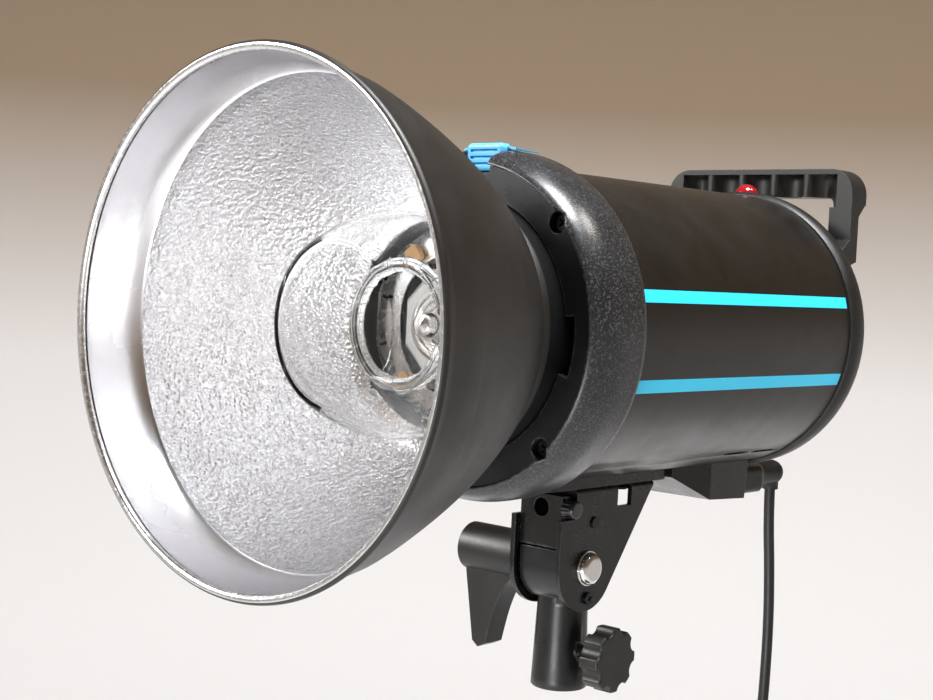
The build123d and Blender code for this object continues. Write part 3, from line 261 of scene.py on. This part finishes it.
def silvered(name, pebbles):
    """The inside of the reflector: bright anodised metal, smooth or pebbled."""
    n = Nodes(name)
    cloud = n.noise(18, 4)
    shade = n.ramp(cloud, ((0.3, (0.86, 0.86, 0.88)), (0.7, (0.92, 0.92, 0.94))))
    n.wire(shade, n.shader.inputs["Base Color"])
    if pebbles:
        warped = n.add("ShaderNodeVectorMath", operation="ADD")
        wobble = n.add("ShaderNodeTexNoise")
        wobble.inputs["Scale"].default_value = 420
        wobble.inputs["Detail"].default_value = 2
        n.wire(n.place, wobble.inputs["Vector"])
        scaled = n.add("ShaderNodeVectorMath", operation="SCALE")
        scaled.inputs["Scale"].default_value = 0.0016
        n.wire(wobble.outputs["Color"], scaled.inputs[0])
        n.wire(n.place, warped.inputs[0])
        n.wire(scaled.outputs["Vector"], warped.inputs[1])
        cells = n.add("ShaderNodeTexVoronoi", feature="SMOOTH_F1")
        cells.inputs["Scale"].default_value = 640
        cells.inputs["Smoothness"].default_value = 0.6
        n.wire(warped.outputs["Vector"], cells.inputs["Vector"])
        height = n.maths("ADD", cells.outputs["Distance"], n.maths("MULTIPLY", n.noise(1500, 3), 0.35))
        n.wire(n.bump(height, 0.0005, 1.0), n.shader.inputs["Normal"])
        n.wire(n.span(cells.outputs["Distance"], 0.0, 0.8, 0.20, 0.30), n.shader.inputs["Roughness"])
    else:
        n.wire(n.bump(n.noise(260, 3), 0.00001, 0.3), n.shader.inputs["Normal"])
        n.wire(n.span(n.noise(25, 3), 0.3, 0.7, 0.24, 0.28), n.shader.inputs["Roughness"])
    n.set(Metallic=1.0)
    MATERIALS[name] = n.material
    return n


def make_materials():
    finish("satin_black", (0.007, 0.0055, 0.004), 0.34, grain=1300, depth=0.00004, wear=0.0, smudge=0.05)
    finish("bowl_paint", (0.008, 0.0068, 0.0056), 0.46, grain=1500, depth=0.00008, smudge=0.05)
    finish("neck_grey", (0.02, 0.02, 0.021), 0.38, metal=0.6, grain=700, smudge=0.06, wear=0.3)
    speckled("collar_grey", (0.013, 0.0135, 0.0145), (0.10, 0.10, 0.105), 0.30)
    finish("plate_black", (0.006, 0.0063, 0.0072), 0.42, grain=1100, depth=0.00005, wear=0.3, smudge=0.08)
    finish(
        "slider_blue", (0.10, 0.52, 0.90), 0.38, grain=1400, depth=0.00003, vary=0.06, coat=0.1, edge=0.0005,
    )
    finish("moulded_black", (0.006, 0.0058, 0.0055), 0.44, grain=1000, depth=0.00009, smudge=0.06, wear=0.1)
    finish("bracket_paint", (0.0025, 0.0025, 0.0023), 0.30, grain=1200, depth=0.00005, wear=0.12, smudge=0.07)
    finish("socket_black", (0.003, 0.003, 0.003), 0.34, grain=800, depth=0.00008, wear=0.12, smudge=0.08)
    finish("knob_gloss", (0.008, 0.008, 0.009), 0.16, grain=500, depth=0.00003, coat=0.4, smudge=0.06)
    finish("white_ceramic", (0.80, 0.80, 0.78), 0.22, grain=600, depth=0.00002, vary=0.04, coat=0.3)
    finish("post_amber", (0.72, 0.42, 0.16), 0.35, grain=900, vary=0.12)
    finish("cord_sheath", (0.004, 0.004, 0.0042), 0.46, grain=1400, depth=0.00006, smudge=0.06, edge=0.0)
    finish("panel_grey", (0.032, 0.032, 0.035), 0.5, grain=1300, depth=0.0001, smudge=0.04)
    finish("button_grey", (0.28, 0.29, 0.31), 0.42, grain=1100, depth=0.00004, vary=0.06)
    finish("board_green", (0.015, 0.12, 0.045), 0.35, grain=300, depth=0.00004, vary=0.3)
    finish("can_blue", (0.03, 0.05, 0.2), 0.3, grain=500, coat=0.3)
    finish("stripe_cyan", (0.03, 0.64, 0.98), 0.34, grain=1300, depth=0.00003, vary=0.05, edge=0.0, coat=0.1)
    finish("stripe_line", (0.30, 0.30, 0.31), 0.4, grain=1300, depth=0.00003, vary=0.05, edge=0.0)
    finish("tie_fabric", (0.02, 0.02, 0.021), 0.8, grain=2600, depth=0.0003, edge=0.0)
    brushed("screw_steel", (0.62, 0.62, 0.63), 0.26)
    brushed("dark_steel", (0.05, 0.05, 0.053), 0.36)
    brushed("chrome", (0.78, 0.77, 0.74), 0.13, stretch=(1, 1, 1), grain=300)
    brushed("polished_plate", (0.88, 0.88, 0.86), 0.26, stretch=(1, 1, 1), grain=200, depth=0.00002)
    brushed("trim_edge", (0.80, 0.80, 0.80), 0.24, stretch=(1, 1, 1), grain=500)
    clear("clear_glass", (0.985, 0.99, 0.99), 0.01, 1.32)
    clear("flash_glass", (0.97, 0.98, 0.97), 0.05)
    clear("display_tint", (0.25, 0.30, 0.32), 0.04)
    silvered("silver_smooth", False)
    silvered("silver_pebbled", True)
    red = finish("red_lens", (0.24, 0.003, 0.008), 0.12, grain=300, depth=0.00002, vary=0.1, coat=0.6)
    red.set(Subsurface_Weight=0.2, Subsurface_Scale=0.002)


make_materials()

# ---- cord ------------------------------------------------------------------------------
CORD_R = 2.9 * MM
COIL_CENTRE = (152.0, -114.0)
ROUTE = [
    (0, 181.0, 78.0),
    (0, 181.6, 60.0),
    (0, 185.6, 34.0),
    (0, 188.4, 0.0),
    (0, 187.6, -38.0),
    (0, 184.6, -72.0),
]
TAIL = [
    (3, 191.6, -124.0),
    (3, 188.0, -136.0),
    (3, 187.2, -149.0),
    (3, 184.6, -164.0),
    (3, 183.8, -177.0),
]
COIL_SLOTS = [
    (40.5, -5.9), (35.5, -8.85), (30.5, -5.9), (25.5, -8.85), (25.5, -2.95), (30.5, 0.0), (35.5, -2.95),
    (35.5, 2.95), (30.5, 5.9), (25.5, 2.95), (25.5, 8.85), (35.5, 8.85), (40.5, 5.9), (40.5, 0.0),
]
COIL_FROM, COIL_TURNS, TURN_POINTS = 38.0, 13.1, 18
COIL_HOLD = 0.7  # the part of each turn that keeps to its own place


def coil_points():
    """The coil's turns, lying in rows across it, each easing into the next row's place."""
    points = []
    steps = round(COIL_TURNS * TURN_POINTS)
    last = len(COIL_SLOTS) - 1
    for step in range(steps + 1):
        turn = step / TURN_POINTS
        here = int(turn)
        r0, x0 = COIL_SLOTS[min(here, last)]
        r1, x1 = COIL_SLOTS[min(here + 1, last)]
        ease = max(0.0, (turn - here - COIL_HOLD) / (1 - COIL_HOLD))
        ease = ease * ease * (3 - 2 * ease)
        angle = math.radians(COIL_FROM - 360 * turn)
        r = r0 + (r1 - r0) * ease
        y = COIL_CENTRE[0] + r * math.cos(angle)
        z = COIL_CENTRE[1] + r * math.sin(angle)
        points.append((x0 + (x1 - x0) * ease, y, z))
    return points


def make_cord():
    """The mains cord: its drop from the inlet, its tied coil and its tail."""
    curve = bpy.data.curves.new("mains_cord", "CURVE")
    curve.dimensions = "3D"
    curve.bevel_depth = CORD_R
    curve.bevel_resolution = 5
    curve.resolution_u = 6
    curve.use_fill_caps = True
    points = ROUTE + coil_points() + TAIL
    spline = curve.splines.new("NURBS")
    spline.points.add(len(points) - 1)
    for target, point in zip(spline.points, points):
        target.co = (*mm(*point), 1.0)
    spline.order_u = 3
    spline.use_endpoint_u = True
    cord = link(bpy.data.objects.new("mains_cord", curve))
    curve.materials.append(MATERIALS["cord_sheath"])
    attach(cord, "head")
    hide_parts("cord_tube", "cord_coil", "cord_tail")


make_cord()

# ---- carried-over CAD nodes ---------------------------------------------------------------
NODE_FINISH = {
    "reflector_neck": "neck_grey", "front_collar": "collar_grey", "mount_plate": "plate_black",
    "mount_screws": "dark_steel", "release_slider": "slider_blue", "release_pin": "screw_steel",
    "release_spring": "screw_steel", "dome_holder": "plate_black", "flash_tube": "flash_glass",
    "trigger_wire": "screw_steel", "inner_reflector": "polished_plate", "reflector_posts": "post_amber",
    "lamp_socket": "white_ceramic", "modelling_lamp": "chrome", "body_tube": "satin_black",
    "rear_cover": "moulded_black", "rear_screws": "dark_steel", "photocell_dome": "red_lens",
    "control_panel": "panel_grey", "display_window": "display_tint", "control_dial": "knob_gloss",
    "button_model": "button_grey", "button_slave": "button_grey", "button_buzzer": "button_grey",
    "button_test": "button_grey", "power_switch": "knob_gloss", "fuse_cap": "moulded_black",
    "sync_jack": "chrome", "inlet_housing": "bracket_paint", "power_inlet": "moulded_black",
    "iec_connector": "cord_sheath", "cord_tie": "tie_fabric", "mains_plug": "cord_sheath",
    "bracket_rail": "bracket_paint", "bracket_yoke": "bracket_paint", "rail_screws": "dark_steel",
    "umbrella_clamp": "bracket_paint", "clamp_rivet": "dark_steel", "umbrella_screw": "screw_steel",
    "umbrella_thumb": "knob_gloss", "stop_screw": "dark_steel", "pivot_bolt": "chrome",
    "clamp_nut": "dark_steel", "tilt_lever": "moulded_black", "lever_screw": "dark_steel",
    "lever_spring": "screw_steel", "stand_socket": "socket_black", "friction_washers": "dark_steel",
    "stand_stud": "chrome", "stand_knob": "moulded_black", "chassis": "polished_plate",
    "main_board": "board_green", "capacitors": "can_blue", "fan_frame": "knob_gloss",
    "fan_rotor": "knob_gloss",
}


WELD_GAP = 0.000004


def dress_nodes():
    """Give each kept CAD node its material, and join its split vertices."""
    for name, finish_name in NODE_FINISH.items():
        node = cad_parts[name]
        for index in range(max(1, len(node.material_slots))):
            if node.material_slots:
                node.material_slots[index].material = MATERIALS[finish_name]
            else:
                node.data.materials.append(MATERIALS[finish_name])
        weld = node.modifiers.new("weld", "WELD")
        weld.merge_threshold = WELD_GAP


dress_nodes()


# ---- turned pieces -------------------------------------------------------------------------
def smooth_path(points, rounds=2):
    """Chaikin rounding of an open outline that keeps its ends."""
    for _ in range(rounds):
        rounded = [points[0]]
        for (a, b), (c, d) in zip(points, points[1:]):
            rounded.append((a * 0.75 + c * 0.25, b * 0.75 + d * 0.25))
            rounded.append((a * 0.25 + c * 0.75, b * 0.25 + d * 0.75))
        rounded.append(points[-1])
        points = rounded
    return points


POLE_R = 0.01  # an outline that meets the axis ends here, and its ring is welded to one point


def turned(name, outline, segments, body, materials, choose=None, closed=True):
    """A piece turned about the strobe's axis. The outline's points are (y, radius) in millimetres."""
    mesh = bpy.data.meshes.new(name)
    bm = bmesh.new()
    rings = []
    for y, radius in outline:
        ring = []
        for i in range(segments):
            a = 2 * math.pi * i / segments
            x, z = radius * MM * math.cos(a), AXIS_Z + radius * MM * math.sin(a)
            ring.append(bm.verts.new((x, y * MM, z)))
        rings.append(ring)
    pairs = list(zip(range(len(rings)), range(1, len(rings))))
    if closed:
        pairs.append((len(rings) - 1, 0))
    for index, (a, b) in enumerate(pairs):
        for i in range(segments):
            j = (i + 1) % segments
            face = bm.faces.new((rings[a][i], rings[a][j], rings[b][j], rings[b][i]))
            face.smooth = True
            if choose:
                face.material_index = choose(index, outline[a])
    bmesh.ops.remove_doubles(bm, verts=bm.verts, dist=3 * POLE_R * MM)
    bmesh.ops.recalc_face_normals(bm, faces=bm.faces)
    bm.to_mesh(mesh)
    bm.free()
    for item in materials:
        mesh.materials.append(MATERIALS[item])
    piece = link(bpy.data.objects.new(name, mesh))
    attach(piece, body)
    return piece


def set_sharp(piece, degrees):
    """Keep edges sharper than an angle crisp in the shading."""
    piece.data.set_sharp_from_angle(angle=math.radians(degrees))


RIM_Y, RIM_R, BEAD_R = -200.0, 99.6, 1.9
CREASE_Y, CREASE_R = -173.0, 95.4
BOWL_END_Y, BOWL_END_R, BOWL_POWER, WALL = -93.5, 55.3, 2.9, 1.2
BOWL_SEGMENTS, DOME_SEGMENTS = 256, 160


def bowl_radius(y):
    """Outer radius of the bowl behind its crease."""
    t = (y - CREASE_Y) / (BOWL_END_Y - CREASE_Y)
    front, rear = CREASE_R**BOWL_POWER, BOWL_END_R**BOWL_POWER
    return (front + (rear - front) * t) ** (1 / BOWL_POWER)


def make_bowl():
    """The bell reflector: painted outside, silvered inside, with a rolled rim, a crease and pebbles."""
    steps = 30
    outside = []
    for i in range(steps + 1):
        y = CREASE_Y + (BOWL_END_Y - CREASE_Y) * math.sin(i / steps * math.pi / 2)
        outside.append((y, bowl_radius(y)))
    inside = [(y - 0.75 * WALL, r - 0.75 * WALL) for y, r in outside[1:]]
    lip = [(-92.2, 48.6), (-92.9, 48.2), (-93.6, 48.6), (-94.0, 50.5)]
    centre_y, centre_r = RIM_Y + BEAD_R, RIM_R
    bead = [
        (centre_y + BEAD_R * math.cos(math.radians(a)), centre_r + BEAD_R * math.sin(math.radians(a)))
        for a in range(-40, -331, -10)
    ]
    front_out = [
        (-196.2, 100.2), (-195.6, 99.5), (-192.0, 98.8), (-184.0, 97.4), (CREASE_Y - 1.6, 95.75),
        (CREASE_Y - 0.7, 95.35), (CREASE_Y - 0.2, 95.2),
    ]
    front_in = [
        (CREASE_Y - 0.2, CREASE_R - WALL - 1.0), (CREASE_Y - 1.2, CREASE_R - WALL + 0.2), (-184.0, 96.3),
        (-193.0, 97.8), (-196.4, 98.4),
    ]
    collar = [(-92.0, 56.0), (-90.2, 56.2), (-90.0, 54.55), (-92.0, 54.35)]
    outline = front_out + outside[1:] + collar + lip + inside[::-1] + front_in + bead
    painted, pebbled, smooth, bare = range(4)
    count_out = len(front_out) + steps + len(collar)
    count_pebble = count_out + len(lip) + len(inside)
    count_band = count_pebble + len(front_in)

    def choose(index, here):
        if index < count_out:
            return painted
        if index < count_pebble:
            return pebbled
        if index < count_band:
            return smooth
        inner_edge = here[1] < centre_r + 0.5 and here[0] < centre_y + 0.4
        return bare if inner_edge else painted

    piece = turned(
        "reflector_bell", outline, BOWL_SEGMENTS, "reflector",
        ["bowl_paint", "silver_pebbled", "silver_smooth", "trim_edge"], choose,
    )
    set_sharp(piece, 45)
    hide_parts("reflector_bowl")


DOME_FRONT, DOME_REAR, DOME_R, DOME_WALL = -154.5, -79.0, 46.0, 2.0
SKIRT_Y = -100.0


def make_dome():
    """The clear glass dome: flat front, rounded shoulder, straight skirt."""
    flat = [(DOME_FRONT, POLE_R), (DOME_FRONT, 12.0), (DOME_FRONT, 24.0), (DOME_FRONT, 28.0)]
    shoulder = smooth_path(
        [
            (DOME_FRONT, 28.0), (DOME_FRONT, 31.0), (-154.0, 33.6), (-150.0, 36.4), (-142.0, 40.3),
            (-134.0, 43.4), (-126.0, 45.4), (-118.0, DOME_R), (-112.0, DOME_R),
        ],
        rounds=3,
    )
    outer = flat + shoulder[1:] + [(SKIRT_Y, DOME_R), (DOME_REAR, DOME_R)]
    shrink = 1 - DOME_WALL / DOME_R
    inner = []
    for y, r in reversed(outer):
        moved = y + DOME_WALL if y < SKIRT_Y else y
        inner.append((moved, max(POLE_R, r * shrink)))
    outline = outer + inner
    piece = turned("glass_bell", outline, DOME_SEGMENTS, "head", ["clear_glass"], closed=False)
    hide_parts("glass_dome")


def tube_along(name, points, radius, body, material, sides=16, bore=0.0):
    """A round tube, or a hollow one, that follows points in metres."""
    curve = bpy.data.curves.new(name, "CURVE")
    curve.dimensions = "3D"
    curve.bevel_depth = radius
    curve.bevel_resolution = sides // 4
    curve.resolution_u = 4
    curve.use_fill_caps = True
    for inner in ((False, True) if bore else (False,)):
        spline = curve.splines.new("NURBS")
        spline.points.add(len(points) - 1)
        for target, point in zip(spline.points, points):
            target.co = (*point, 1.0)
            target.radius = bore / radius if inner else 1.0
        spline.order_u = 3
        spline.use_endpoint_u = True
    curve.materials.append(MATERIALS[material])
    piece = link(bpy.data.objects.new(name, curve))
    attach(piece, body)
    return piece


RING_Y, RING_R, RING_GLASS, RING_BORE = -116.0, 24.5, 3.0, 2.2
RING_GAP, RING_POINTS = 14, 33
WIRE_R, WIRE_TURNS, WIRE_TURN_POINTS = 0.28, 15, 12


def on_ring(degrees, radius=RING_R, y=RING_Y):
    """A point at an angle on a circle about the strobe's axis."""
    a = math.radians(degrees)
    return Vector((radius * MM * math.cos(a), y * MM, AXIS_Z + radius * MM * math.sin(a)))


def make_flash_tube():
    """The ring flash tube, hollow, with its two legs, its end caps and the trigger wire round it."""
    sweep = 360 - 2 * RING_GAP
    ring = [on_ring(RING_GAP + sweep * i / (RING_POINTS - 1)) for i in range(RING_POINTS)]
    first, last = ring[0], ring[-1]
    leg = Vector((0, 1, 0))
    path = [first + leg * 0.040, first + leg * 0.022, first + leg * 0.004] + ring
    path += [last + leg * 0.004, last + leg * 0.022, last + leg * 0.040]
    glass = tube_along(
        "flash_ring", path, RING_GLASS * MM, "head", "flash_glass", bore=RING_BORE * MM,
    )
    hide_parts("flash_tube")
    wire = []
    wound_r = RING_GLASS + 0.3
    steps = WIRE_TURNS * WIRE_TURN_POINTS
    for i in range(steps + 1):
        b = 2 * math.pi * i / WIRE_TURN_POINTS
        angle = RING_GAP + 6 + (sweep - 12) * i / steps
        wire.append(on_ring(angle, RING_R + wound_r * math.cos(b), RING_Y + wound_r * math.sin(b)))
    wire += [wire[-1] + leg * 0.012, wire[-1] + leg * 0.030]
    coil = tube_along("trigger_coil", wire, WIRE_R * MM, "head", "screw_steel", sides=8)
    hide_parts("trigger_wire")
    for end_name, end in (("near", first), ("far", last)):
        cap = [end + leg * 0.026, end + leg * 0.030, end + leg * 0.034, end + leg * 0.038]
        tube_along(f"flash_ring_cap_{end_name}", cap, 3.5 * MM, "head", "white_ceramic")


make_bowl()
make_dome()
make_flash_tube()


# ---- bands and marks on the tube ---------------------------------------------------------------
BAND_LIFT, BAND_THICK = 0.08 * MM, 0.08 * MM
BAND_FRONT, BAND_REAR = -49.3, 127.5


def band(name, low, high):
    """A thin printed band on the tube between two angles, in degrees from +X."""
    mesh = bpy.data.meshes.new(name)
    bm = bmesh.new()
    steps = 12
    rows = []
    for radius in (TUBE_R + BAND_LIFT, TUBE_R + BAND_LIFT + BAND_THICK):
        row = []
        for i in range(steps + 1):
            a = math.radians(low + (high - low) * i / steps)
            x, z = radius * math.cos(a), AXIS_Z + radius * math.sin(a)
            row.append(tuple(bm.verts.new((x, y * MM, z)) for y in (BAND_FRONT, BAND_REAR)))
        rows.append(row)
    under, over = rows
    for i in range(steps):
        bm.faces.new((over[i][0], over[i][1], over[i + 1][1], over[i + 1][0]))
        bm.faces.new((under[i][0], under[i + 1][0], under[i + 1][1], under[i][1]))
        bm.faces.new((under[i][0], over[i][0], over[i + 1][0], under[i + 1][0]))
        bm.faces.new((under[i][1], under[i + 1][1], over[i + 1][1], over[i][1]))
    for i in (0, steps):
        bm.faces.new((under[i][0], under[i][1], over[i][1], over[i][0]))
    bmesh.ops.recalc_face_normals(bm, faces=bm.faces)
    for face in bm.faces:
        face.smooth = True
    bm.to_mesh(mesh)
    bm.free()
    mesh.materials.append(MATERIALS["stripe_cyan"])
    piece = link(bpy.data.objects.new(name, mesh))
    set_sharp(piece, 40)
    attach(piece, "head")


def make_bands():
    """Two cyan bands on each side of the tube."""
    for side_name, mirror in (("near", False), ("far", True)):
        for band_name, low, high in (("upper", 11.4, 15.9), ("lower", -20.4, -15.5)):
            if mirror:
                low, high = 180 - high, 180 - low
            band(f"tube_band_{band_name}_{side_name}", low, high)


make_bands()


# ---- studio --------------------------------------------------------------------------------
FLOOR_Z, FLOOR_R, COVE_R, COVE_STEPS, WALL_TOP = -1.0, 2.6, 0.9, 10, 3.4
# the paper's colour with painted shade: pale grey at the floor, darkening to brown towards the top of the
# wall
PAPER_AND_PAINTED_SHADE = ((0.0, (0.80, 0.80, 0.81)), (0.40, (0.60, 0.58, 0.57)), (0.66, (0.26, 0.195, 0.135)))


def make_studio():
    """A pale floor that curves up into a wall all round, with painted shade that makes it darker and warmer
    towards the top.
    """
    n = Nodes("studio_paper_shaded")
    height = n.add("ShaderNodeSeparateXYZ")
    n.wire(n.place, height.inputs["Vector"])
    # painted shade: the colour darkens with height
    painted_shade_height = n.span(height.outputs["Z"], -1.2, 1.6, 0.0, 1.0)
    n.wire(n.ramp(painted_shade_height, PAPER_AND_PAINTED_SHADE), n.shader.inputs["Base Color"])
    n.wire(n.bump(n.noise(60, 4), 0.0004, 0.2), n.shader.inputs["Normal"])
    n.set(Roughness=0.9, Specular_IOR_Level=0.2)
    profile = [(FLOOR_R, FLOOR_Z)]
    for i in range(1, COVE_STEPS + 1):
        a = math.pi / 2 * i / COVE_STEPS
        profile.append((FLOOR_R + COVE_R * math.sin(a), FLOOR_Z + COVE_R * (1 - math.cos(a))))
    profile += [(FLOOR_R + COVE_R, 1.2), (FLOOR_R + COVE_R, WALL_TOP)]
    mesh = bpy.data.meshes.new("studio_floor")
    bm = bmesh.new()
    segments = 96
    centre = bm.verts.new((0, 0, FLOOR_Z))
    rings = []
    for radius, z in profile:
        ring = []
        for i in range(segments):
            a = 2 * math.pi * i / segments
            ring.append(bm.verts.new((radius * math.cos(a), radius * math.sin(a), z)))
        rings.append(ring)
    for i in range(segments):
        bm.faces.new((centre, rings[0][i], rings[0][(i + 1) % segments]))
    for a, b in zip(rings, rings[1:]):
        for i in range(segments):
            j = (i + 1) % segments
            bm.faces.new((a[i], b[i], b[j], a[j]))
    for face in bm.faces:
        face.smooth = True
    bm.to_mesh(mesh)
    bm.free()
    mesh.materials.append(n.material)
    link(bpy.data.objects.new("studio_floor", mesh))


def area_light(name, place, target, size, power, colour=(1, 1, 1)):
    """A soft box at a place, turned to a target."""
    data = bpy.data.lights.new(name, "AREA")
    data.shape = "RECTANGLE"
    data.size, data.size_y = size
    data.energy = power
    data.color = colour
    light = link(bpy.data.objects.new(name, data))
    aim = (Vector(target) - Vector(place)).to_track_quat("-Z", "Y")
    light.matrix_world = Matrix.Translation(place) @ aim.to_matrix().to_4x4()


def make_lights():
    """The soft boxes, and the light of the room round them."""
    area_light("key_front_left", (-1.5, -1.7, 1.3), (0, -0.1, 0.15), (0.9, 0.8), 84, (1.0, 0.995, 0.985))
    area_light("front_low", (0.5, -2.2, -0.7), (0, 0, 0.15), (0.7, 0.5), 30)
    area_light("ceiling", (0.40, -0.15, 1.65), (0.05, -0.06, 0.17), (0.6, 0.6), 62, (0.97, 0.98, 1.0))
    area_light("overhead", (0.8, 0.5, 1.6), (0.05, 0, 0.15), (0.4, 0.2), 10, (1.0, 0.95, 0.88))
    area_light("wall_wash", (-0.6, 1.0, -0.75), (-2.4, 3.2, -0.5), (2.4, 0.5), 26)
    world = bpy.data.worlds.new("studio_air")
    world.use_nodes = True
    world.node_tree.nodes["Background"].inputs["Color"].default_value = (0.80, 0.79, 0.78, 1.0)
    world.node_tree.nodes["Background"].inputs["Strength"].default_value = 0.22
    SCENE.world = world
    SCENE.view_settings.view_transform = "Standard"


make_studio()
make_lights()
